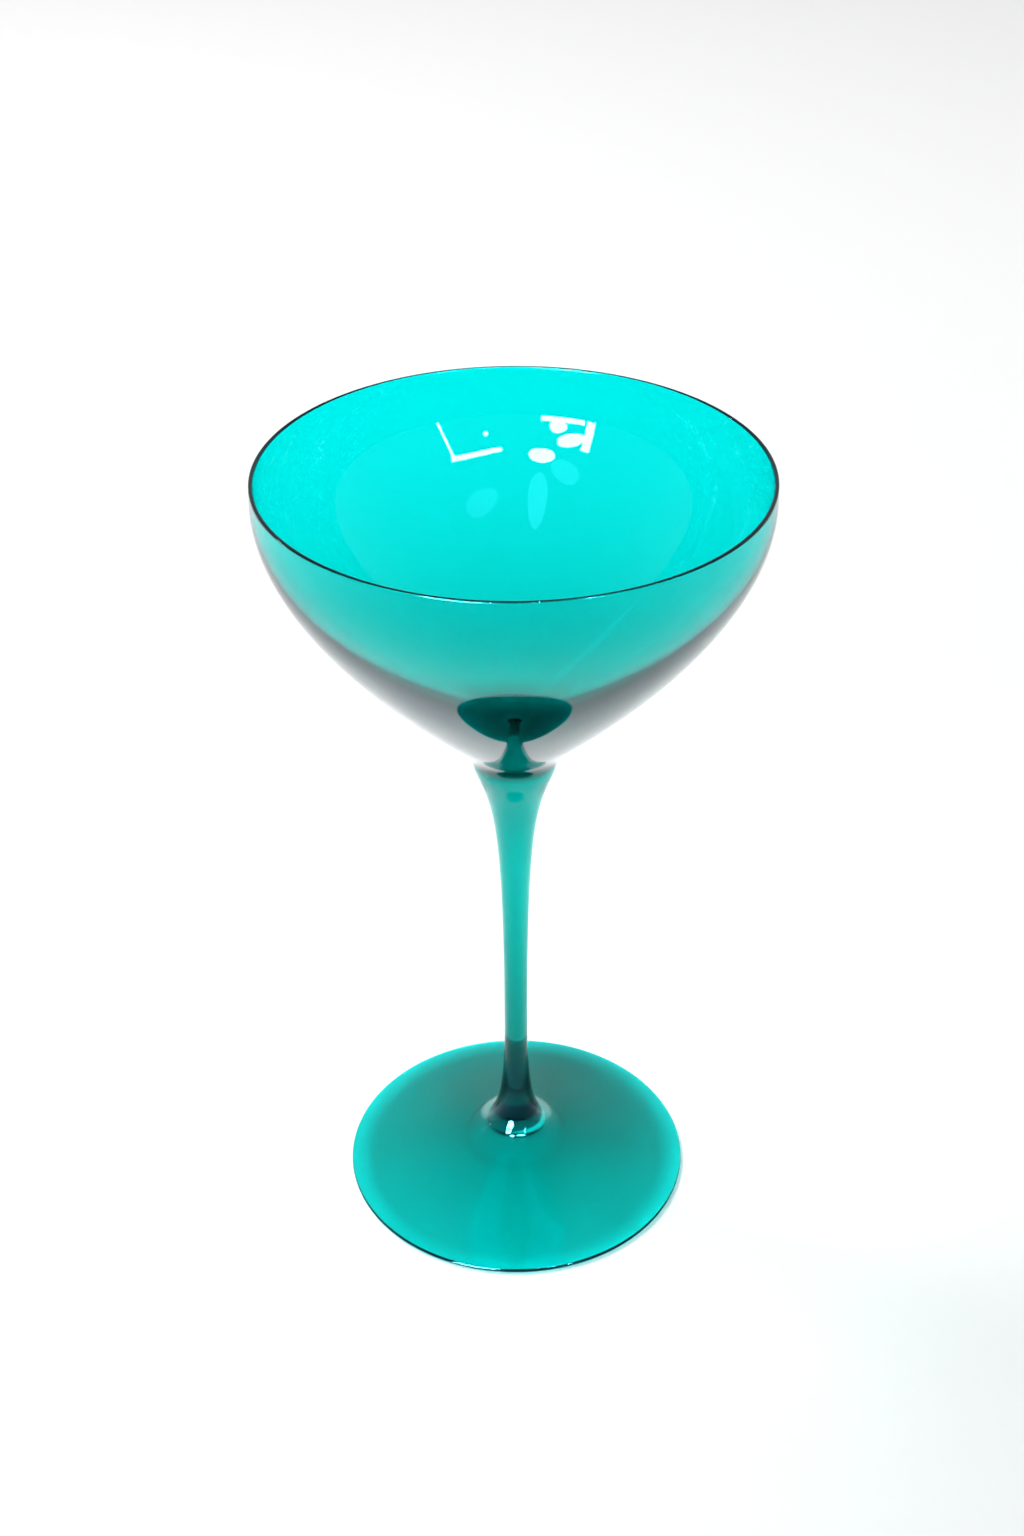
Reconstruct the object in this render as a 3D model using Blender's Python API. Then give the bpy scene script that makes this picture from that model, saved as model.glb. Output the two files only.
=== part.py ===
"""A stemmed cocktail glass in coloured, hand-blown glass.

Three gathers of glass make it: a blown bowl, a drawn stem and a spun foot.
Each is one closed solid, turned about +Z. They meet at two level seams, where
the real glass is fused hot, and a hairline gap stands for each fused seam.

Units are metres. The origin is the centre of the ring that the glass rests on.
"""

import math

import bpy
from mathutils import Vector
from mathutils.geometry import interpolate_bezier

# Heights, from the table up. The glass is as tall as their sum.
FOOT_HEIGHT = 0.0160
STEM_LENGTH = 0.1029
BOWL_HEIGHT = 0.0711
SEAM_GAP = 0.0003

# Bowl: outer radii and heights above its seam, and walls square to the outside.
# The wall thickens downwards, slowly at first, onto a solid base.
RIM_RADIUS = 0.0543
RIM_WALL = 0.0009
SHOULDER_WALL = 0.0049
WALL_GROWTH = 1.9
SHOULDER_RADIUS = 0.0162
SHOULDER_RISE = 0.0094
SHOULDER_SLOPE = math.radians(43.5)
BASE_DEPTH = 0.0077
NECK_RADIUS = 0.0095
NECK_LEAN = math.radians(11.6)

# Stem: it falls away from the bowl through the knee to a slim waist, and flares
# to the ankle, where it meets the foot.
KNEE_RADIUS = 0.00515
KNEE_DROP = 0.0146
KNEE_LEAN = math.radians(9.9)
WAIST_RADIUS = 0.0028
WAIST_RISE = 0.0260
ANKLE_RADIUS = 0.0053
ANKLE_SLOPE = math.radians(68.0)

# Foot: a low cone, hollowed underneath so that only a ring touches the table.
FOOT_RADIUS = 0.0415
FOOT_EDGE = 0.0018
FOOT_WALL = 0.0023
EDGE_SLOPE = math.radians(9.0)
INSTEP_RADIUS = 0.0130
INSTEP_DROP = 0.0074
INSTEP_SLOPE = math.radians(17.0)
REST_WIDTH = 0.0028

# How far each Bezier handle reaches, as a share of the run that it shapes.
RIM_FULLNESS = 0.095
SHOULDER_FULLNESS = 1.54
SWEEP_SHARE = 0.68
NECK_SHARE = 0.20
CALF_SHARE = 0.24
KNEE_SHARE = 0.59
EASE_SHARE = 0.40
ROUND_SHARE = 2 / 3

# Facets.
BOWL_SIDES = 48
STEM_SIDES = 28
FOOT_SIDES = 48
CURVE_POINTS = 12
SHORT_CURVE_POINTS = 6
MERGE_DISTANCE = 0.00001

GLASS_COLOUR = (0.0, 0.55, 0.50, 1.0)
GLASS_ROUGHNESS = 0.02
GLASS_INDEX = 1.52


def point(radius, height):
    """A profile point in the XZ half-plane."""
    return Vector((radius, 0.0, height))


def heading(slope):
    """The unit step outwards and upwards at a slope above the level."""
    return Vector((math.cos(slope), 0.0, math.sin(slope)))


def curve(start, start_step, end_step, end, count):
    """A Bezier stretch of a profile; each step leads from an end to its handle."""
    return interpolate_bezier(start, start + start_step, end + end_step, end, count)


def rounded(start, corner, end, count):
    """A smooth bend from start to end, tangent to the two lines of a corner."""
    return curve(start, (corner - start) * ROUND_SHARE, (corner - end) * ROUND_SHARE,
                 end, count)


def leaning(lean):
    """The unit step upwards, leaning outwards from the upright."""
    return heading(math.pi / 2 - lean)


def offset(profile, first_normal, first_wall, last_wall, growth):
    """The far side of a wall along a profile's outer side.

    The wall goes from the first to the last thickness as the share of the
    profile's length that lies behind it, raised to the growth.
    """
    lengths = [0.0]
    for place, following in zip(profile, profile[1:]):
        lengths.append(lengths[-1] + (following - place).length)
    result = []
    last = len(profile) - 1
    for index, place in enumerate(profile):
        run = profile[min(index + 1, last)] - profile[max(index - 1, 0)]
        normal = Vector((run.z, 0.0, -run.x)).normalized()
        if index == 0:
            normal = first_normal
        share = (lengths[index] / lengths[-1]) ** growth
        result.append(place + normal * (first_wall + (last_wall - first_wall) * share))
    return result


def to_axis(start, slope, height):
    """A smooth cap from a point on a slope to the axis at a height, level there."""
    run = (start.z - height) / math.tan(slope)
    corner = point(max(start.x - run, 0.0), height)
    return rounded(start, corner, point(0.0, height), SHORT_CURVE_POINTS)


def slope_between(low, high):
    """The slope above the level of the line from a low point to a high one."""
    return math.atan2(high.z - low.z, high.x - low.x)


def glass_material(name):
    """A Principled material for one gather of the glass."""
    material = bpy.data.materials.new(name)
    material.use_nodes = True
    shader = material.node_tree.nodes["Principled BSDF"]
    shader.inputs["Base Color"].default_value = GLASS_COLOUR
    shader.inputs["Roughness"].default_value = GLASS_ROUGHNESS
    shader.inputs["Metallic"].default_value = 0.0
    shader.inputs["IOR"].default_value = GLASS_INDEX
    shader.inputs["Transmission Weight"].default_value = 1.0
    return material


def turned(name, profile, sides, height, parent):
    """Turn a profile about +Z into a named solid that stands at a height."""
    mesh = bpy.data.meshes.new(name)
    links = [(index, index + 1) for index in range(len(profile) - 1)]
    mesh.from_pydata(profile, links, [])
    mesh.materials.append(glass_material(name + "_glass"))
    solid = bpy.data.objects.new(name, mesh)
    bpy.context.collection.objects.link(solid)
    solid.parent = parent
    solid.location.z = height
    screw = solid.modifiers.new("turn", "SCREW")
    screw.axis = "Z"
    screw.angle = math.tau
    screw.steps = sides
    screw.render_steps = sides
    screw.use_merge_vertices = True
    screw.merge_threshold = MERGE_DISTANCE
    screw.use_smooth_shade = True
    return solid


def bowl_profile():
    """From the floor of the bowl up its inside, over the rim and down to the seam."""
    lip_radius = RIM_WALL / 2
    rim = point(RIM_RADIUS, BOWL_HEIGHT - lip_radius)
    shoulder = point(SHOULDER_RADIUS, SHOULDER_RISE)
    outside = curve(rim, point(0.0, (shoulder.z - rim.z) * RIM_FULLNESS),
                    heading(SHOULDER_SLOPE) * (rim.x - shoulder.x) * SHOULDER_FULLNESS,
                    shoulder, CURVE_POINTS)
    inside = offset(outside, point(-1.0, 0.0), RIM_WALL, SHOULDER_WALL, WALL_GROWTH)

    # The inside closes in a round floor over the solid base.
    cap = to_axis(inside[-1], slope_between(inside[-1], inside[-2]), BASE_DEPTH)

    # The fire-polished rim is half a circle across the wall.
    centre = rim - point(lip_radius, 0.0)
    lip = [centre + heading(math.pi * (1 - index / SHORT_CURVE_POINTS)) * lip_radius
           for index in range(1, SHORT_CURVE_POINTS)]

    # The outside sweeps in to the neck, and the seam there is level.
    neck = point(NECK_RADIUS, 0.0)
    reach = (shoulder - neck).length
    sweep = curve(shoulder, heading(SHOULDER_SLOPE) * -reach * SWEEP_SHARE,
                  leaning(NECK_LEAN) * reach * NECK_SHARE, neck, SHORT_CURVE_POINTS)

    return (list(reversed(cap)) + list(reversed(inside))[1:] + lip + outside[:-1]
            + sweep + [point(0.0, 0.0)])


def stem_profile():
    """From the seam under the bowl down to the seam on the foot."""
    length = STEM_LENGTH - SEAM_GAP
    top = point(NECK_RADIUS, length)
    knee = point(KNEE_RADIUS, length - KNEE_DROP)
    waist = point(WAIST_RADIUS, WAIST_RISE)
    ankle = point(ANKLE_RADIUS, 0.0)
    up = leaning(0.0)

    calf = curve(top, leaning(NECK_LEAN) * -KNEE_DROP * CALF_SHARE,
                 leaning(KNEE_LEAN) * KNEE_DROP * KNEE_SHARE, knee, CURVE_POINTS)
    run = knee.z - waist.z
    shin = curve(knee, leaning(KNEE_LEAN) * -run * EASE_SHARE / 2,
                 up * run * EASE_SHARE, waist, CURVE_POINTS)
    flare = curve(waist, up * -waist.z * EASE_SHARE,
                  heading(math.pi - ANKLE_SLOPE) * waist.z * EASE_SHARE / 2, ankle,
                  CURVE_POINTS)
    return [point(0.0, length)] + calf[:-1] + shin[:-1] + flare + [point(0.0, 0.0)]


def foot_profile():
    """From the seam under the stem out over the foot and back in under it."""
    ankle = point(ANKLE_RADIUS, FOOT_HEIGHT - SEAM_GAP)
    instep = point(INSTEP_RADIUS, FOOT_HEIGHT - INSTEP_DROP)
    bead = FOOT_EDGE / 2
    bead_centre = point(FOOT_RADIUS - bead, bead)
    edge_turn = math.pi / 2 - EDGE_SLOPE
    edge = bead_centre + heading(edge_turn) * bead

    drop = (ankle - instep).length
    flare = curve(ankle, heading(-ANKLE_SLOPE) * drop * EASE_SHARE,
                  heading(math.pi - INSTEP_SLOPE) * drop * EASE_SHARE, instep,
                  SHORT_CURVE_POINTS)
    run = edge.x - instep.x
    cone = curve(instep, heading(-INSTEP_SLOPE) * run * EASE_SHARE,
                 heading(math.pi - EDGE_SLOPE) * run * EASE_SHARE, edge, CURVE_POINTS)

    # A round edge rolls under to the level ring that touches the table.
    roll = []
    for index in range(1, SHORT_CURVE_POINTS + 1):
        turn = edge_turn - (edge_turn + math.pi / 2) * index / SHORT_CURVE_POINTS
        roll.append(bead_centre + heading(turn) * bead)
    ring_inside = roll[-1] - point(REST_WIDTH, 0.0)

    # The hollow under the foot keeps one wall from the instep to the ring.
    under = offset(cone, Vector(), FOOT_WALL, FOOT_WALL, 1.0)
    square_in = heading(-math.pi / 2 - INSTEP_SLOPE)
    under[0] = instep + square_in * FOOT_WALL
    hollow = [place for place in under if place.x < ring_inside.x and place.z > 0.0]
    rise = hollow[0].x * math.tan(INSTEP_SLOPE) / 2
    crown = point(0.0, hollow[0].z + rise)
    cap = rounded(hollow[0], point(hollow[0].x / 2, crown.z), crown, SHORT_CURVE_POINTS)
    return ([point(0.0, ankle.z)] + flare[:-1] + cone + roll + [ring_inside]
            + list(reversed(hollow)) + cap[1:])


def main():
    """Clear the scene and model the glass."""
    for old in list(bpy.data.objects):
        bpy.data.objects.remove(old, do_unlink=True)
    assembly = bpy.data.objects.new("martini_glass", None)
    bpy.context.collection.objects.link(assembly)
    turned("foot", foot_profile(), FOOT_SIDES, 0.0, assembly)
    turned("stem", stem_profile(), STEM_SIDES, FOOT_HEIGHT, assembly)
    turned("bowl", bowl_profile(), BOWL_SIDES, FOOT_HEIGHT + STEM_LENGTH, assembly)


main()
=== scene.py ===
"""The looks of a hand-blown, teal martini glass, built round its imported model.

The glass is three gathers, each one closed surface turned about +Z: a blown bowl
with a solid base, a drawn stem and a spun foot with a hollow under it. Where two
gathers are fused hot, their level faces meet at a hairline and bend no light, so
the eye sees one run of glass, as in the real thing. Units are metres, +Z is up,
and the origin is the centre of the ring that the glass rests on.
"""

import logging
import math
from dataclasses import dataclass, field
from enum import Enum

import bpy
import numpy as np
from mathutils import Euler, Matrix, Vector


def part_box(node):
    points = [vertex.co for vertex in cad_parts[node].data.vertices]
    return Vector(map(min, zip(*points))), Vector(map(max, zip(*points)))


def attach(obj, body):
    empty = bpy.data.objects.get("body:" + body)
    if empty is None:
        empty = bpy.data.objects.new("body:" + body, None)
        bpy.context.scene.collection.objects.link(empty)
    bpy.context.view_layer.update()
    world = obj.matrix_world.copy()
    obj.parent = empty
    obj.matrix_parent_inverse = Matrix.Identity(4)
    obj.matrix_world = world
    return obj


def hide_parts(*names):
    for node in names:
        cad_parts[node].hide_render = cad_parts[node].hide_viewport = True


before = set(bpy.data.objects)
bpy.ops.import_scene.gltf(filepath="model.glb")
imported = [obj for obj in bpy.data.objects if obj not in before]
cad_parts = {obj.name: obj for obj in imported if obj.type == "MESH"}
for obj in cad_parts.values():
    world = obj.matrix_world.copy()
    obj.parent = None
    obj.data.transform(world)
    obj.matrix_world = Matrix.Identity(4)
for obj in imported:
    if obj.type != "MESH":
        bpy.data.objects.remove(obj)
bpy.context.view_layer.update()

Array = np.ndarray

# How far apart two fused faces lie, and the sharpest turn that shades smooth.
HAIRLINE = 0.00001
CREASE = math.radians(40.0)

# Where a Mix node of colours keeps its first colour, its second and its result.
FIRST_COLOUR, SECOND_COLOUR, MIXED_COLOUR = 6, 7, 2

log = logging.getLogger("martini_glass")


# ---------------------------------------------------------------- outlines


def heading(slope: float) -> Array:
    """Give the unit step outwards and upwards at a slope above the level."""
    return np.array([math.cos(slope), math.sin(slope)])


def leaning(lean: float) -> Array:
    """Give the unit step upwards that leans outwards from the upright."""
    return heading(math.pi / 2 - lean)


def bend(start: Array, start_step: Array, end_step: Array, end: Array, count: int) -> Array:
    """Give a smooth stretch of an outline.

    A cubic Bezier: at share t the four corners weigh (1-t)^3, 3t(1-t)^2, 3t^2(1-t)
    and t^3.

    Args:
        start: First place, as (radius, height).
        start_step: Step from the start to its handle.
        end_step: Step from the end to its handle.
        end: Last place.
        count: How many places to give.

    Returns:
        The places, one row each.
    """
    t = np.linspace(0.0, 1.0, count)[:, None]
    corners = (start, start + start_step, end + end_step, end)
    weights = ((1 - t) ** 3, 3 * t * (1 - t) ** 2, 3 * t**2 * (1 - t), t**3)
    return sum(weight * corner for weight, corner in zip(weights, corners))


def rounded(start: Array, corner: Array, end: Array, count: int, share: float = 2 / 3) -> Array:
    """Give a bend tangent to the two lines that meet in a corner."""
    return bend(start, (corner - start) * share, (corner - end) * share, end, count)


def arc(centre: Array, radius: float, first: float, last: float, count: int) -> Array:
    """Give places on a circle: the centre plus radius times (cos a, sin a), a from first to last."""
    turn = np.linspace(first, last, count)
    return centre + radius * np.stack([np.cos(turn), np.sin(turn)], axis=1)


def run_lengths(outline: Array) -> Array:
    """Give each place's distance along the outline from its first place."""
    steps = np.linalg.norm(np.diff(outline, axis=0), axis=1)
    return np.concatenate([[0.0], np.cumsum(steps)])


def inner_side(outer: Array, first_wall: float, last_wall: float, growth: float) -> Array:
    """Give the inner side of a wall whose outer side runs downwards.

    The wall is square to the outer side. Its thickness goes from the first to the
    last as (share of the length behind) ** growth.

    Args:
        outer: The outer side, from its upper end down.
        first_wall: Thickness at the upper end.
        last_wall: Thickness at the lower end.
        growth: Power of the share.

    Returns:
        As many places as the outer side has, in the same order.
    """
    run = np.gradient(outer, axis=0)
    run /= np.linalg.norm(run, axis=1)[:, None]
    inwards = np.stack([run[:, 1], -run[:, 0]], axis=1)
    lengths = run_lengths(outer)
    wall = first_wall + (last_wall - first_wall) * (lengths / lengths[-1]) ** growth
    return outer + inwards * wall[:, None]


def evenly(outline: Array, count: int) -> Array:
    """Space the places of an outline evenly along it.

    Each new place lies on the straight line between its two old neighbours.

    Args:
        outline: Places as (radius, height).
        count: How many places to give.

    Returns:
        The new places, one row each.
    """
    lengths = run_lengths(outline)
    share = np.linspace(0.0, lengths[-1], count)
    return np.stack([np.interp(share, lengths, outline[:, axis]) for axis in range(2)], axis=1)


# ---------------------------------------------------------------- surfaces


class End(Enum):
    """An end of an outline that stands on the axis."""

    FIRST = 0
    LAST = -1


@dataclass(frozen=True)
class HandWaves:
    """The slow unevenness that hand work leaves on a blown surface.

    The radius at turn v and height z gains the sum over the waves of
    height * cos(folds * v + climb * z + phase), with folds whole numbers.

    Attributes:
        height: How far one wave swells at most, in metres.
        count: How many waves are added.
        most_folds: The largest number of folds in one turn.
        climb: The fastest change with height, in radians per metre.
        least: The smallest share of the height that a wave may have.
        seed: Start of the random draws.
    """

    height: float
    count: int = 6
    most_folds: int = 6
    climb: float = 150.0
    least: float = 0.4
    seed: int = 7

    def swell(self, outline: Array, turn: Array) -> Array:
        """Add the waves up over the whole surface.

        Args:
            outline: Places as (radius, height).
            turn: The angles, in order.

        Returns:
            The gain in radius, one row for each place and one column for each angle.
        """
        draw = np.random.default_rng(self.seed)
        folds = draw.integers(1, self.most_folds + 1, self.count)
        climb = draw.uniform(-self.climb, self.climb, self.count)
        phase = draw.uniform(0.0, math.tau, self.count)
        height = self.height * draw.uniform(self.least, 1.0, self.count)
        angle = (
            folds[:, None, None] * turn[None, None, :]
            + climb[:, None, None] * outline[None, :, 1, None]
            + phase[:, None, None]
        )
        return (height[:, None, None] * np.cos(angle)).sum(axis=0)


def turned(outline: Array, turn: Array, gain: Array) -> tuple[Array, list[list[int]]]:
    """Turn an outline that starts and ends on the axis about +Z.

    The place at row u and turn v is ((r(u) + gain) cos v, (r(u) + gain) sin v, z(u)).
    Each end on the axis is one pole, closed by a fan of triangles.

    Args:
        outline: Places as (radius, height), the outer side running down.
        turn: The angles, in order.
        gain: What each place adds to its radius, as HandWaves gives it.

    Returns:
        The vertices, and the faces pointing out of the glass, stretch by stretch.
    """
    rows, sides = len(outline) - 2, len(turn)
    radius = outline[1:-1, 0, None] + gain[1:-1]
    height = np.broadcast_to(outline[1:-1, 1, None], radius.shape)
    grid = np.stack([radius * np.cos(turn), radius * np.sin(turn), height], axis=-1)
    first = [[0.0, 0.0, outline[0, 1]]]
    last = [[0.0, 0.0, outline[-1, 1]]]
    vertices = np.concatenate([first, grid.reshape(-1, 3), last])

    column = np.arange(sides)
    beside = np.roll(column, -1)
    start = 1 + sides * np.arange(rows - 1)[:, None]
    quads = np.stack(
        [start + column, start + sides + column, start + sides + beside, start + beside], axis=-1
    )
    low = 1 + sides * (rows - 1)
    top_fan = np.stack([np.zeros(sides, int), 1 + column, 1 + beside], axis=-1)
    low_fan = np.stack([low + column, np.full(sides, len(vertices) - 1), low + beside], axis=-1)
    faces = top_fan.tolist() + quads.reshape(-1, 4).tolist() + low_fan.tolist()
    return vertices, faces


# ---------------------------------------------------------------- finishes


class NodeWeb:
    """Adds and joins the nodes of one node tree."""

    def __init__(self, tree: bpy.types.NodeTree) -> None:
        """Start on an existing tree."""
        self.tree = tree

    def add(self, kind: str, **values: object) -> bpy.types.Node:
        """Add a node.

        Args:
            kind: Blender's name of the node type.
            **values: Plain values for its inputs, an underscore for each space in the
                input's name; a name that isn't an input sets the node's own property.

        Returns:
            The node.
        """
        node = self.tree.nodes.new(kind)
        for name, value in values.items():
            socket = node.inputs.get(name.replace("_", " "))
            if socket is None:
                setattr(node, name, value)
            else:
                socket.default_value = value
        return node

    def join(self, source: bpy.types.NodeSocket, target: bpy.types.NodeSocket) -> None:
        """Join an output to an input."""
        self.tree.links.new(source, target)

    def spread(self, source: bpy.types.NodeSocket, low: float, high: float,
               to_low: float, to_high: float, smooth: bool = False) -> bpy.types.NodeSocket:
        """Map a value from one range to another and hold it there.

        Args:
            source: The value.
            low: Where its range starts.
            high: Where its range ends.
            to_low: What it becomes at the start.
            to_high: What it becomes at the end.
            smooth: Whether it eases in and out, or goes straight.

        Returns:
            The mapped output.
        """
        node = self.add("ShaderNodeMapRange", From_Min=low, From_Max=high,
                        To_Min=to_low, To_Max=to_high)
        node.interpolation_type = "SMOOTHSTEP" if smooth else "LINEAR"
        self.join(source, node.inputs["Value"])
        return node.outputs["Result"]


@dataclass(frozen=True)
class GlassFinish:
    """Teal glass, coloured through, with a fire-polished surface.

    Attributes:
        absorbed: What a metre of it takes from red, green and blue.
        clear: Surface tint between the cords of the melt.
        cord: Surface tint along them.
        density_by_height_and_painted_shade: Two heights, and how dense the colour is at each
        as a share of the usual; None where it is even. On the foot the denser colour low
        down is painted shade on its plate, and the thinner colour above is painted light
        on its dome.
        mirror: Tint of what it mirrors head on; a glancing mirror image stays white.
        index: Index of refraction.
        smooth: Roughness where the fire left it brightest.
        handled: Roughness where it was handled.
        cord_scale: Cords in a metre, across.
        cord_stretch: Scale of the cords along the axis; less draws them out more.
        cord_edges: Values of their noise at which a cord starts and is full.
        smudge_scale: Smudges in a metre.
        smudge_edges: Values of their noise at which a smudge starts and is full.
        ripple_scale: Ripples in a metre.
        ripple_depth: Height of the ripples in the surface.
        seed_cell: Side of the space that holds one seed, a tiny bubble.
        seed_radius: How far a seed lifts the surface round it.
        seed_depth: How high it lifts it.
    """

    absorbed: tuple[float, float, float] = (900.0, 165.0, 186.0)
    clear: tuple[float, float, float] = (0.0, 1.0, 1.0)
    cord: tuple[float, float, float] = (0.0, 0.988, 0.99)
    density_by_height_and_painted_shade: tuple[float, float, float, float] | None = None
    mirror: tuple[float, float, float] = (0.05, 0.6, 0.85)
    index: float = 1.52
    smooth: float = 0.0
    handled: float = 0.012
    cord_scale: float = 55.0
    cord_stretch: float = 0.25
    cord_edges: tuple[float, float] = (0.35, 0.7)
    smudge_scale: float = 70.0
    smudge_edges: tuple[float, float] = (0.45, 0.75)
    ripple_scale: float = 65.0
    ripple_depth: float = 0.000005
    seed_cell: float = 0.011
    seed_radius: float = 0.0003
    seed_depth: float = 0.00004

    def material(self, name: str) -> bpy.types.Material:
        """Make the material of one gather.

        Args:
            name: What to call it.

        Returns:
            The material.
        """
        material = bpy.data.materials.new(name)
        material.use_nodes = True
        web = NodeWeb(material.node_tree)
        shader = material.node_tree.nodes["Principled BSDF"]
        shader.inputs["Transmission Weight"].default_value = 1.0
        shader.inputs["Specular Tint"].default_value = (*self.mirror, 1.0)
        where = web.add("ShaderNodeTexCoord").outputs["Object"]
        self._colour(web, where, shader)
        self._surface(web, where, shader)
        self._fused_faces(web, shader)
        self._depth(web, where, material.node_tree.nodes["Material Output"])
        return material

    def _colour(self, web: NodeWeb, where: bpy.types.NodeSocket, shader: bpy.types.Node) -> None:
        """Tint the surface along the cords, streaks of denser colour drawn out in the melt.

        Args:
            web: The material's nodes.
            where: The place on the glass.
            shader: The node that takes the tint.
        """
        stretch = web.add("ShaderNodeMapping")
        stretch.inputs["Scale"].default_value = (1.0, 1.0, self.cord_stretch)
        web.join(where, stretch.inputs["Vector"])
        cords = web.add("ShaderNodeTexNoise", Scale=self.cord_scale, Detail=3.0, Roughness=0.55,
                        Distortion=0.6)
        web.join(stretch.outputs["Vector"], cords.inputs["Vector"])
        tint = web.add("ShaderNodeMix", data_type="RGBA")
        share = web.spread(cords.outputs["Fac"], *self.cord_edges, 0.0, 1.0, smooth=True)
        web.join(share, tint.inputs["Factor"])
        tint.inputs[FIRST_COLOUR].default_value = (*self.clear, 1.0)
        tint.inputs[SECOND_COLOUR].default_value = (*self.cord, 1.0)
        web.join(tint.outputs[MIXED_COLOUR], shader.inputs["Base Color"])

    def _surface(self, web: NodeWeb, where: bpy.types.NodeSocket, shader: bpy.types.Node) -> None:
        """Vary the polish, and lift the surface by slow ripples and by the seeds under it.

        Args:
            web: The material's nodes.
            where: The place on the glass.
            shader: The node that takes the roughness and the lifted surface.
        """
        smudge = web.add("ShaderNodeTexNoise", Scale=self.smudge_scale, Detail=4.0, Roughness=0.6)
        web.join(where, smudge.inputs["Vector"])
        polish = web.spread(smudge.outputs["Fac"], *self.smudge_edges, self.smooth, self.handled)
        web.join(polish, shader.inputs["Roughness"])

        ripple = web.add("ShaderNodeTexNoise", Scale=self.ripple_scale, Detail=1.0, Roughness=0.4)
        web.join(where, ripple.inputs["Vector"])
        waved = web.add("ShaderNodeBump", Strength=1.0, Distance=self.ripple_depth)
        web.join(ripple.outputs["Fac"], waved.inputs["Height"])

        seeds = web.add("ShaderNodeTexVoronoi", Scale=1.0 / self.seed_cell, Randomness=1.0)
        web.join(where, seeds.inputs["Vector"])
        reach = self.seed_radius / self.seed_cell
        lifted = web.spread(seeds.outputs["Distance"], 0.0, reach, 1.0, 0.0, smooth=True)
        seeded = web.add("ShaderNodeBump", Strength=1.0, Distance=self.seed_depth)
        web.join(lifted, seeded.inputs["Height"])
        web.join(waved.outputs["Normal"], seeded.inputs["Normal"])
        web.join(seeded.outputs["Normal"], shader.inputs["Normal"])

    def _fused_faces(self, web: NodeWeb, shader: bpy.types.Node) -> None:
        """Bend light as glass does, but not at all at a face that is fused to the next gather.

        Args:
            web: The material's nodes.
            shader: The node that takes the index of refraction.
        """
        fused = web.add("ShaderNodeAttribute", attribute_name="fused")
        shader.inputs["IOR"].default_value = self.index
        index = web.spread(fused.outputs["Fac"], 0.0, 1.0, self.index, 1.0)
        web.join(index, shader.inputs["IOR"])

    def _depth(self, web: NodeWeb, where: bpy.types.NodeSocket, output: bpy.types.Node) -> None:
        """Take colour from the light with its way through the glass.

        A metre keeps exp(-density * (1 - colour)) of each of red, green and blue, so the
        density is the most that is absorbed, and each colour is what is left over from it.

        Args:
            web: The material's nodes.
            where: The place in the glass.
            output: The material's output.
        """
        densest = max(self.absorbed)
        kept = [1.0 - share / densest for share in self.absorbed]
        depth = web.add("ShaderNodeVolumeAbsorption", Density=densest, Color=(*kept, 1.0))
        # The colour grows denser or thinner with height; on the foot this paints shade on the plate
        # and light on the dome.
        if self.density_by_height_and_painted_shade:
            low, high, low_share, high_share = self.density_by_height_and_painted_shade
            parts = web.add("ShaderNodeSeparateXYZ")
            web.join(where, parts.inputs["Vector"])
            density = web.spread(parts.outputs["Z"], low, high,
                                 densest * low_share, densest * high_share)
            web.join(density, depth.inputs["Density"])
            depth.inputs["Density"].default_value = densest * (low_share + high_share) / 2
        web.join(depth.outputs["Volume"], output.inputs["Volume"])


# ---------------------------------------------------------------- gathers


@dataclass
class Gather:
    """One gather of glass, a closed surface turned about +Z that stands for a CAD node.

    Attributes:
        node: The CAD node it stands for.
        sides: How many flats make one turn.
        fused: The ends of its outline that are fused to another gather.
        finish: What it is made of.
    """

    node: str = ""
    sides: int = 320
    fused: tuple[End, ...] = ()
    finish: GlassFinish = field(default_factory=GlassFinish)

    @property
    def floor(self) -> float:
        """Give the height of the CAD node's lowest point."""
        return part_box(self.node)[0][2]

    @property
    def top(self) -> float:
        """Give the height of its highest point."""
        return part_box(self.node)[1][2]

    @property
    def girth(self) -> float:
        """Give its largest radius."""
        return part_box(self.node)[1][0]

    def outline(self) -> Array:
        """Give the outline from the upper end of the axis to the lower."""
        raise NotImplementedError

    def gain(self, outline: Array, turn: Array) -> Array:
        """Give what hand work adds to the radius; nothing unless a gather says more."""
        return np.zeros((len(outline), len(turn)))

    def build(self) -> bpy.types.Object:
        """Make the piece, dress it, and let it stand for its CAD node.

        Returns:
            The piece.
        """
        outline = self.outline()
        turn = np.arange(self.sides) * (math.tau / self.sides)
        vertices, faces = turned(outline, turn, self.gain(outline, turn))
        mesh = bpy.data.meshes.new(self.node + "_blown")
        mesh.from_pydata(vertices.tolist(), [], faces)
        mesh.shade_smooth()
        mesh.set_sharp_from_angle(angle=CREASE)
        self._mark_fused(mesh, len(outline) - 1)
        mesh.materials.append(self.finish.material(self.node + "_glass"))
        piece = bpy.data.objects.new(self.node + "_blown", mesh)
        bpy.context.scene.collection.objects.link(piece)
        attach(piece, "root")
        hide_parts(self.node)
        log.info("%s: %d faces, %.1f mm tall", piece.name, len(mesh.polygons),
                 1000 * (outline[:, 1].max() - outline[:, 1].min()))
        return piece

    def _mark_fused(self, mesh: bpy.types.Mesh, stretches: int) -> None:
        """Mark the level faces of the fused ends.

        Args:
            mesh: The turned mesh, with one band of faces for each stretch of the outline.
            stretches: How many stretches the outline has.
        """
        share = np.zeros(stretches, dtype=np.float32)
        for end in self.fused:
            share[end.value] = 1.0
        attribute = mesh.attributes.new("fused", "FLOAT", "FACE")
        attribute.data.foreach_set("value", np.repeat(share, self.sides))


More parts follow.
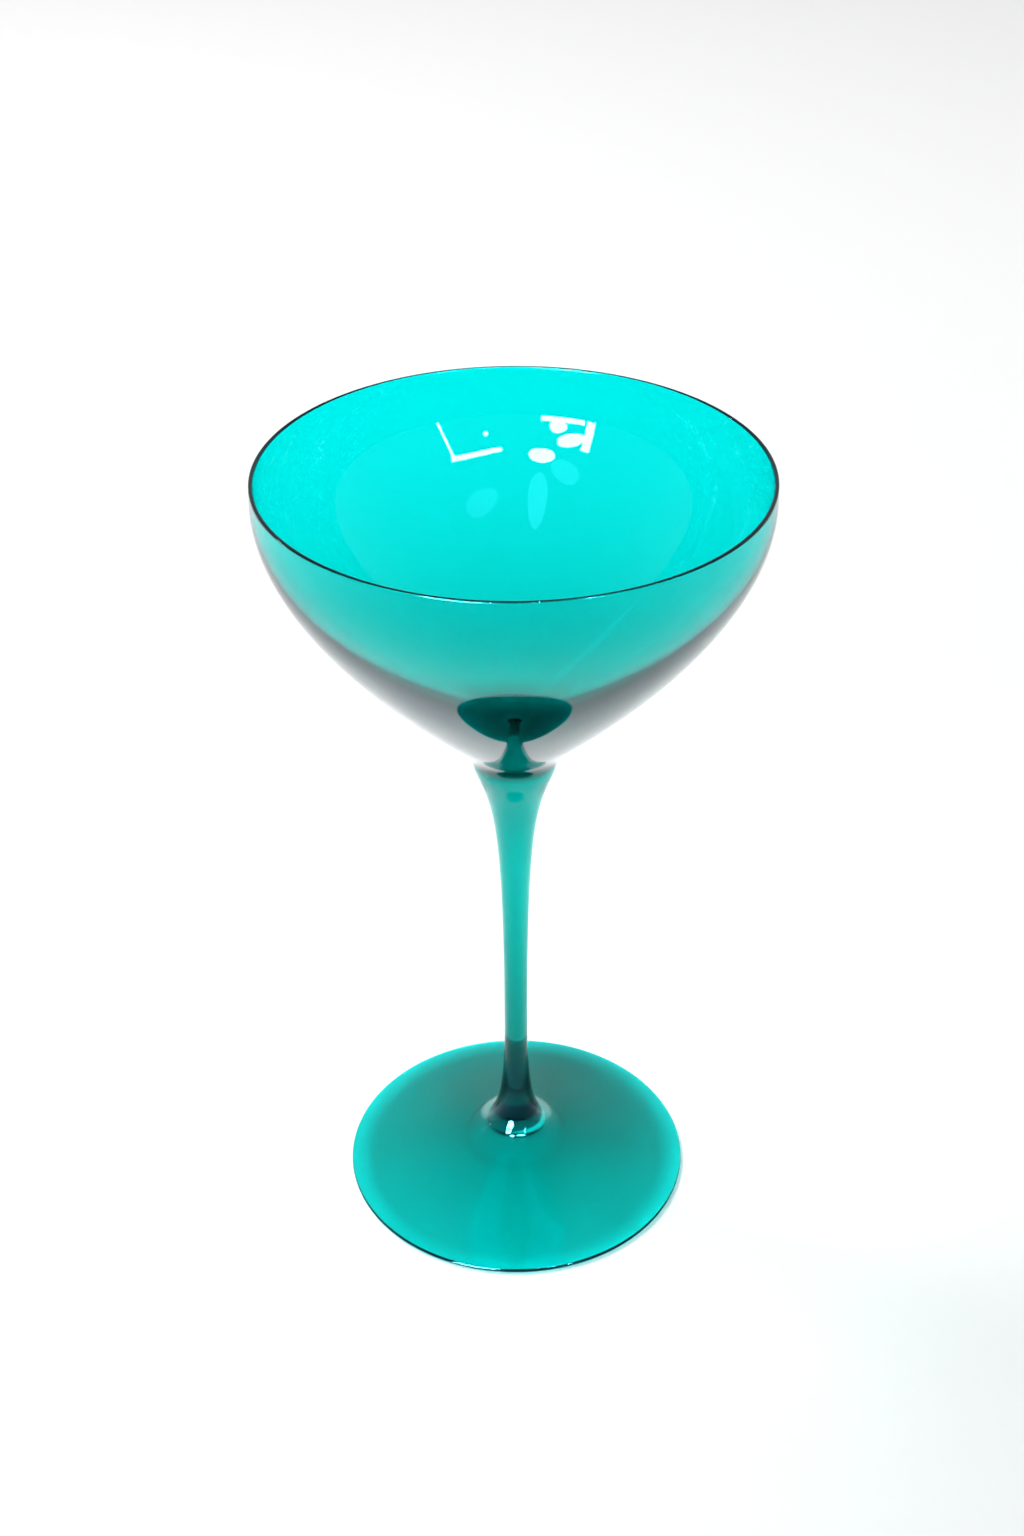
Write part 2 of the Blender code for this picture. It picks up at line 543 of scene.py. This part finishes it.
@dataclass
class Bowl(Gather):
    """The blown bowl: thin at the rim, thicker towards a solid base, narrowed to a neck.

    Attributes:
        rim_radius: Outer radius at the rim, just inside the fullest place below it.
        rim_wall: Thickness of the wall at the rim.
        shoulder_wall: Thickness where the wall ends on the base.
        wall_growth: Power with which it thickens downwards.
        shoulder_radius: Outer radius where the sweep to the neck starts.
        shoulder_rise: Height of that place above the seam.
        shoulder_slope: Slope there above the level.
        base_depth: Solid glass between the seam and the floor of the bowl.
        neck_radius: Outer radius at the seam.
        neck_lean: Lean there from the upright.
        rim_fullness: How far the upper wall keeps upright, as a share of its height.
        shoulder_fullness: How far the cone keeps straight, as a share of its width.
        sweep_share: How far the sweep keeps the shoulder's slope, as a share of its reach.
        neck_share: How far it keeps the neck's lean.
        wall_places: Places down the wall.
        sweep_places: Places along the sweep, and along the floor.
        lip_places: Places round the lip.
        fineness: Places worked out for each one kept down the wall.
        waves: Unevenness of the inner wall.
        wave_fade: Over what height the waves fade at the rim and at the floor.
    """

    node: str = "bowl"
    fused: tuple[End, ...] = (End.LAST,)
    rim_radius: float = 0.0543
    rim_wall: float = 0.0009
    shoulder_wall: float = 0.0049
    wall_growth: float = 1.9
    shoulder_radius: float = 0.0162
    shoulder_rise: float = 0.0094
    shoulder_slope: float = math.radians(43.5)
    base_depth: float = 0.0077
    neck_radius: float = 0.0095
    neck_lean: float = math.radians(11.6)
    rim_fullness: float = 0.095
    shoulder_fullness: float = 1.54
    sweep_share: float = 0.68
    neck_share: float = 0.20
    wall_places: int = 110
    sweep_places: int = 24
    lip_places: int = 17
    fineness: int = 8
    waves: HandWaves = HandWaves(height=0.000012)
    wave_fade: float = 0.012

    def _outside(self) -> Array:
        """Bend the outer wall from the rim down to the shoulder.

        Returns:
            Its places, spaced evenly.
        """
        rim = np.array([self.rim_radius, self.top - self.rim_wall / 2])
        shoulder = np.array([self.shoulder_radius, self.floor + self.shoulder_rise])
        down = np.array([0.0, (shoulder[1] - rim[1]) * self.rim_fullness])
        out = heading(self.shoulder_slope) * (rim[0] - shoulder[0]) * self.shoulder_fullness
        fine = bend(rim, down, out, shoulder, self.fineness * self.wall_places)
        return evenly(fine, self.wall_places)

    def outline(self) -> Array:
        """Run from the floor of the bowl up its inside, over the lip and down to the seam.

        Returns:
            The places, as (radius, height).
        """
        outside = self._outside()
        inside = inner_side(outside, self.rim_wall, self.shoulder_wall, self.wall_growth)
        lip_centre = (outside[0] + inside[0]) / 2
        lip = arc(lip_centre, self.rim_wall / 2, math.pi, 0.0, self.lip_places)

        low, above = inside[-1], inside[-2]
        slope = math.atan2(above[1] - low[1], above[0] - low[0])
        base = self.floor + self.base_depth
        corner = np.array([low[0] - (low[1] - base) / math.tan(slope), base])
        cap = rounded(np.array([0.0, base]), corner, low, self.sweep_places)

        neck = np.array([self.neck_radius, self.floor])
        reach = np.linalg.norm(outside[-1] - neck)
        sweep = bend(outside[-1], heading(self.shoulder_slope) * -reach * self.sweep_share,
                     leaning(self.neck_lean) * reach * self.neck_share, neck, self.sweep_places)
        seam = np.array([[0.0, self.floor]])
        return np.concatenate(
            [cap[:-1], inside[:0:-1], lip, outside[1:], sweep[1:], seam]
        )

    def gain(self, outline: Array, turn: Array) -> Array:
        """Ripple the inside only, fading out towards the rim and the floor.

        The share of a wave at height z is (top - z) / fade, held at most 1, times
        (z - floor) / fade, held the same way, on the inside, and nothing on the outside.

        Args:
            outline: Places as (radius, height).
            turn: The angles, in order.

        Returns:
            The gain in radius, one row for each place and one column for each angle.
        """
        swell = self.waves.swell(outline, turn)
        height = outline[:, 1]
        last_inside = int(np.argmax(height))
        below_rim = np.clip((self.top - height) / self.wave_fade, 0.0, 1.0)
        above_floor = np.clip((height - height[0]) / self.wave_fade, 0.0, 1.0)
        share = below_rim * above_floor
        share[last_inside:] = 0.0
        return swell * share[:, None]


@dataclass
class Stem(Gather):
    """The drawn stem: it falls from the neck to a slim waist and flares to the ankle.

    Attributes:
        neck_radius: Radius at the seam under the bowl.
        neck_lean: Lean there from the upright.
        knee_radius: Radius where the fall from the neck ends.
        knee_drop: How far below the top that place is.
        knee_lean: Lean there from the upright.
        waist_radius: The slimmest radius.
        waist_rise: Height of the waist above the lower seam.
        ankle_radius: Radius at the lower seam.
        ankle_slope: Slope there above the level.
        calf_share: How far the fall keeps the neck's lean, as a share of its height.
        knee_share: How far it keeps the knee's.
        ease_share: How far the other stretches keep their ends' directions.
        places: Places along each longer stretch.
    """

    node: str = "stem"
    sides: int = 128
    fused: tuple[End, ...] = (End.FIRST, End.LAST)
    finish: GlassFinish = GlassFinish(density_by_height_and_painted_shade=(0.040, 0.118, 1.6, 0.30))
    neck_radius: float = 0.0095
    neck_lean: float = math.radians(11.6)
    knee_radius: float = 0.00515
    knee_drop: float = 0.0146
    knee_lean: float = math.radians(9.9)
    waist_radius: float = 0.0028
    waist_rise: float = 0.0260
    ankle_radius: float = 0.0053
    ankle_slope: float = math.radians(68.0)
    calf_share: float = 0.24
    knee_share: float = 0.59
    ease_share: float = 0.40
    places: int = 60

    def outline(self) -> Array:
        """Run from the seam under the bowl down to the seam on the foot.

        Returns:
            The places, as (radius, height).
        """
        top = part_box("bowl")[0][2] - HAIRLINE
        neck = np.array([self.neck_radius, top])
        knee = np.array([self.knee_radius, self.top - self.knee_drop])
        waist = np.array([self.waist_radius, self.floor + self.waist_rise])
        ankle = np.array([self.ankle_radius, self.floor])
        upright = leaning(0.0)
        calf = bend(neck, leaning(self.neck_lean) * -self.knee_drop * self.calf_share,
                    leaning(self.knee_lean) * self.knee_drop * self.knee_share, knee, self.places)
        run = knee[1] - waist[1]
        shin = bend(knee, leaning(self.knee_lean) * -run * self.ease_share / 2,
                    upright * run * self.ease_share, waist, self.places)
        flare = bend(waist, upright * -self.waist_rise * self.ease_share,
                     heading(math.pi - self.ankle_slope) * self.waist_rise * self.ease_share / 2,
                     ankle, self.places // 2)
        return np.concatenate(
            [[[0.0, top]], calf, shin[1:], flare[1:], [[0.0, self.floor]]]
        )


@dataclass
class Foot(Gather):
    """The spun foot: a low cone with a rolled edge, hollow underneath, on a resting ring.

    Attributes:
        ankle_radius: Radius at the seam under the stem.
        ankle_slope: Slope there above the level.
        instep_radius: Radius where the cone starts.
        instep_drop: How far below the seam that place is.
        instep_slope: Slope there above the level.
        edge: Height of the rolled edge.
        edge_slope: Slope of the cone where the edge starts.
        instep_wall: Thickness of the wall at the instep.
        edge_wall: Thickness at the edge.
        wall_growth: Power with which it goes from one to the other.
        kick: How far the middle of the hollow rises above the instep's hollow.
        rest_width: Width of the level ring that touches the table.
        ease_share: How far each stretch keeps its ends' directions, as a share of it.
        places: Places along the cone.
        short_places: Places along each shorter stretch.
    """

    node: str = "foot"
    fused: tuple[End, ...] = (End.FIRST,)
    # Denser colour low in the foot is painted shade on its plate; thinner colour in its dome is
    # painted light.
    finish: GlassFinish = GlassFinish(absorbed=(900.0, 165.0, 173.0),
                                      density_by_height_and_painted_shade=(0.0085, 0.0105, 2.10, 0.30))
    ankle_radius: float = 0.0053
    ankle_slope: float = math.radians(68.0)
    instep_radius: float = 0.0130
    instep_drop: float = 0.0074
    instep_slope: float = math.radians(17.0)
    edge: float = 0.0012
    edge_slope: float = math.radians(9.0)
    instep_wall: float = 0.0032
    edge_wall: float = 0.0020
    wall_growth: float = 0.5
    kick: float = 0.0030
    rest_width: float = 0.0022
    ease_share: float = 0.40
    places: int = 70
    short_places: int = 24

    def outline(self) -> Array:
        """Run from the seam under the stem out over the foot and back in under it.

        Returns:
            The places, as (radius, height).
        """
        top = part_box("stem")[0][2]
        ankle = np.array([self.ankle_radius, top - HAIRLINE])
        instep = np.array([self.instep_radius, top - self.instep_drop])
        bead = self.edge / 2
        bead_centre = np.array([self.girth - bead, self.floor + bead])
        edge_turn = math.pi / 2 - self.edge_slope
        edge = bead_centre + heading(edge_turn) * bead

        drop = np.linalg.norm(ankle - instep)
        flare = bend(ankle, heading(-self.ankle_slope) * drop * self.ease_share,
                     heading(math.pi - self.instep_slope) * drop * self.ease_share, instep,
                     self.short_places)
        run = edge[0] - instep[0]
        cone = bend(instep, heading(-self.instep_slope) * run * self.ease_share,
                    heading(math.pi - self.edge_slope) * run * self.ease_share, edge, self.places)
        roll = arc(bead_centre, bead, edge_turn, -math.pi / 2, self.short_places)
        ring_inside = roll[-1] - np.array([self.rest_width, 0.0])

        under = inner_side(cone, self.instep_wall, self.edge_wall, self.wall_growth)
        hollow = under[(under[:, 0] < ring_inside[0]) & (under[:, 1] > self.floor)]
        crown = np.array([0.0, hollow[0, 1] + self.kick])
        cap = rounded(hollow[0], np.array([hollow[0, 0] / 2, crown[1]]), crown, self.short_places)
        return np.concatenate(
            [[[0.0, ankle[1]]], flare, cone[1:], roll[1:], [ring_inside], hollow[::-1], cap[1:]]
        )


# ---------------------------------------------------------------- studio


@dataclass(frozen=True)
class Pane:
    """One bright pane that the glass mirrors.

    Attributes:
        azimuth: Degrees from -Y towards +X, seen from the glass.
        elevation: Degrees above the level.
        width: Degrees across.
        height: Degrees up.
        tilt: Degrees that it is turned in its own plane.
        round: Whether it is an ellipse.
        share: Its share of the panes' light.
    """

    azimuth: float
    elevation: float
    width: float
    height: float
    tilt: float = 0.0
    round: bool = False
    share: float = 1.0


@dataclass(frozen=True)
class TablePaint:
    """Flat white paint for the table.

    Attributes:
        white: How much of the light it gives back.
        roughness: How dull it is.
    """

    white: float = 0.93
    roughness: float = 0.7

    def material(self) -> bpy.types.Material:
        """Make the paint.

        Returns:
            The material.
        """
        material = bpy.data.materials.new("table_white")
        material.use_nodes = True
        shader = material.node_tree.nodes["Principled BSDF"]
        shader.inputs["Base Color"].default_value = (self.white, self.white, self.white, 1.0)
        shader.inputs["Roughness"].default_value = self.roughness
        shader.inputs["Specular IOR Level"].default_value = 0.0
        return material


@dataclass
class Studio:
    """A white table in even white light, bright panes behind the viewer, and the camera.

    Attributes:
        light: Strength of the white all round.
        key_light: Watts of the large soft lamp.
        key_size: Side of it.
        key_place: Where it hangs.
        pool_light: Watts of the small lamp that brightens the table behind the glass.
        pool_size: Width of it.
        pool_spread: Angle of its beam.
        pool_fade: How soft the beam's edge is.
        pool_place: Where it hangs.
        pool_aim: Where it points.
        paint: What the table is painted with.
        table_size: Side of the table.
        table_drop: How far it lies under the glass.
        pane_distance: How far off the panes hang.
        pane_light: Strength of a pane with a full share of the light.
        panes: The panes.
        eye: Where the camera stands.
        look_down: Degrees that it looks below the level.
        roll: Degrees that it is turned round its own axis.
        lens: Focal length, in millimetres.
        film_width: Width of the film, in millimetres.
        nearest: The nearest that it sees.
        walls: How many surfaces light may pass through.
        mirrors: How often it may be mirrored.
    """

    light: float = 0.62
    key_light: float = 15.5
    key_size: float = 1.4
    key_place: tuple[float, float, float] = (-0.60, 0.35, 1.30)
    pool_light: float = 4.6
    pool_size: float = 0.12
    pool_spread: float = math.radians(42.0)
    pool_fade: float = 0.75
    pool_place: tuple[float, float, float] = (-0.25, 0.15, 0.40)
    pool_aim: tuple[float, float, float] = (0.0, 0.05, 0.0)
    paint: TablePaint = TablePaint()
    table_size: float = 12.0
    table_drop: float = 0.0002
    pane_distance: float = 2.5
    pane_light: float = 420.0
    panes: tuple[Pane, ...] = (
        Pane(-23.0, 5.0, 20.0, 10.0),
        Pane(-36.0, 15.0, 4.0, 20.0),
        Pane(-28.0, 20.5, 13.0, 7.5, 25.0, True),
        Pane(-21.0, 13.0, 8.0, 9.0, 0.0, True),
        Pane(-15.0, 30.0, 12.0, 6.5, 0.0, True),
        Pane(33.0, 17.0, 1.2, 23.0, 9.0),
        Pane(19.0, 29.0, 24.0, 2.4, 4.0),
        Pane(12.8, 18.4, 2.4, 3.0, 0.0, True),
        Pane(-110.0, 12.0, 0.9, 26.0, 31.0, False, 0.06),
        Pane(-16.0, 45.0, 9.0, 16.0, 5.0, True, 0.010),
        Pane(-29.0, 35.0, 14.0, 8.0, -15.0, True, 0.008),
        Pane(21.0, 46.0, 16.0, 7.0, 8.0, True, 0.006),
    )
    eye: tuple[float, float, float] = (-0.00063, -0.40497, 0.38798)
    look_down: float = 33.80
    roll: float = -0.30
    lens: float = 51.03
    film_width: float = 36.0
    nearest: float = 0.01
    walls: int = 24
    mirrors: int = 8

    def lay_table(self) -> None:
        """Lay a plain white table top, a hair under the ring that the glass rests on."""
        half = self.table_size / 2
        z = -self.table_drop
        mesh = bpy.data.meshes.new("table_top")
        corners = [(-half, -half, z), (half, -half, z), (half, half, z), (-half, half, z)]
        mesh.from_pydata(corners, [], [(0, 1, 2, 3)])
        mesh.materials.append(self.paint.material())
        table = bpy.data.objects.new("table_top", mesh)
        bpy.context.scene.collection.objects.link(table)

    def light_room(self) -> None:
        """Fill the room with even white light, hang the two lamps, and hang the panes."""
        world = bpy.data.worlds.new("white_room")
        world.use_nodes = True
        backdrop = world.node_tree.nodes["Background"]
        backdrop.inputs["Color"].default_value = (1.0, 1.0, 1.0, 1.0)
        backdrop.inputs["Strength"].default_value = self.light
        bpy.context.scene.world = world
        self._hang_key()
        self._hang_pool()
        for number, pane in enumerate(self.panes):
            self._hang_pane(pane, f"pane_{number + 1}")

    def _hang_lamp(self, light: bpy.types.Light, place: Vector, aim: Vector) -> bpy.types.Object:
        """Hang a lamp that lights the table but is neither seen nor mirrored.

        Args:
            light: The light in it.
            place: Where it hangs.
            aim: Where it points.

        Returns:
            The lamp.
        """
        lamp = bpy.data.objects.new(light.name, light)
        lamp.location = place
        lamp.rotation_euler = (place - aim).to_track_quat("Z", "Y").to_euler()
        lamp.visible_glossy = False
        lamp.visible_camera = False
        bpy.context.scene.collection.objects.link(lamp)
        return lamp

    def _hang_key(self) -> None:
        """Hang the large soft lamp, aimed at the foot of the glass."""
        key = bpy.data.lights.new("key", "AREA")
        key.energy = self.key_light
        key.size = self.key_size
        self._hang_lamp(key, Vector(self.key_place), Vector())

    def _hang_pool(self) -> None:
        """Hang the small lamp that brightens the table, unseen through the glass as well."""
        pool = bpy.data.lights.new("pool", "SPOT")
        pool.shadow_soft_size = self.pool_size / 2
        pool.spot_size = self.pool_spread
        pool.spot_blend = self.pool_fade
        pool.energy = self.pool_light
        lamp = self._hang_lamp(pool, Vector(self.pool_place), Vector(self.pool_aim))
        lamp.visible_transmission = False

    def _hang_pane(self, pane: Pane, name: str) -> None:
        """Hang one pane so that it faces the bowl and is seen in what is mirrored only.

        A pane a degrees wide at distance d is 2 d tan(a / 2) across.

        Args:
            pane: The pane.
            name: What to call it.
        """
        light = bpy.data.lights.new(name, "AREA")
        light.shape = "ELLIPSE" if pane.round else "RECTANGLE"
        light.size = 2 * self.pane_distance * math.tan(math.radians(pane.width / 2))
        light.size_y = 2 * self.pane_distance * math.tan(math.radians(pane.height / 2))
        area = light.size * light.size_y * (math.pi / 4 if pane.round else 1.0)
        light.energy = self.pane_light * pane.share * math.pi * area
        azimuth, elevation = math.radians(pane.azimuth), math.radians(pane.elevation)
        away = Vector((math.sin(azimuth) * math.cos(elevation),
                       -math.cos(azimuth) * math.cos(elevation), math.sin(elevation)))
        lamp = bpy.data.objects.new(name, light)
        lamp.location = Vector((0.0, 0.0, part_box("bowl")[1][2])) + away * self.pane_distance
        facing = away.to_track_quat("Z", "Y").to_matrix().to_4x4()
        spin = Matrix.Rotation(math.radians(pane.tilt), 4, "Z")
        lamp.rotation_euler = (facing @ spin).to_euler()
        lamp.visible_diffuse = False
        lamp.visible_transmission = False
        bpy.context.scene.collection.objects.link(lamp)

    def stand_camera(self) -> None:
        """Stand the camera over the near side of the glass, looking down into the bowl."""
        camera = bpy.data.cameras.new("camera")
        camera.sensor_width = self.film_width
        camera.lens = self.lens
        camera.clip_start = self.nearest
        stand = bpy.data.objects.new("camera", camera)
        stand.location = self.eye
        down = Euler((math.pi / 2 - math.radians(self.look_down), 0.0, 0.0)).to_matrix().to_4x4()
        stand.rotation_euler = (down @ Matrix.Rotation(math.radians(self.roll), 4, "Z")).to_euler()
        bpy.context.scene.collection.objects.link(stand)
        bpy.context.scene.camera = stand

    def develop(self) -> None:
        """Keep colours as lit, and let light pass through as many walls as the glass has."""
        scene = bpy.context.scene
        scene.view_settings.view_transform = "Standard"
        scene.cycles.max_bounces = self.walls
        scene.cycles.transmission_bounces = self.walls
        scene.cycles.glossy_bounces = self.mirrors
        scene.cycles.use_denoising = True


def main() -> None:
    """Build the gathers, then the studio round them."""
    logging.basicConfig(level=logging.INFO, format="%(name)s: %(message)s")
    studio = Studio()
    studio.stand_camera()
    for gather in (Bowl(), Stem(), Foot()):
        gather.build()
    studio.lay_table()
    studio.light_room()
    studio.develop()


if __name__ == "__main__":
    main()
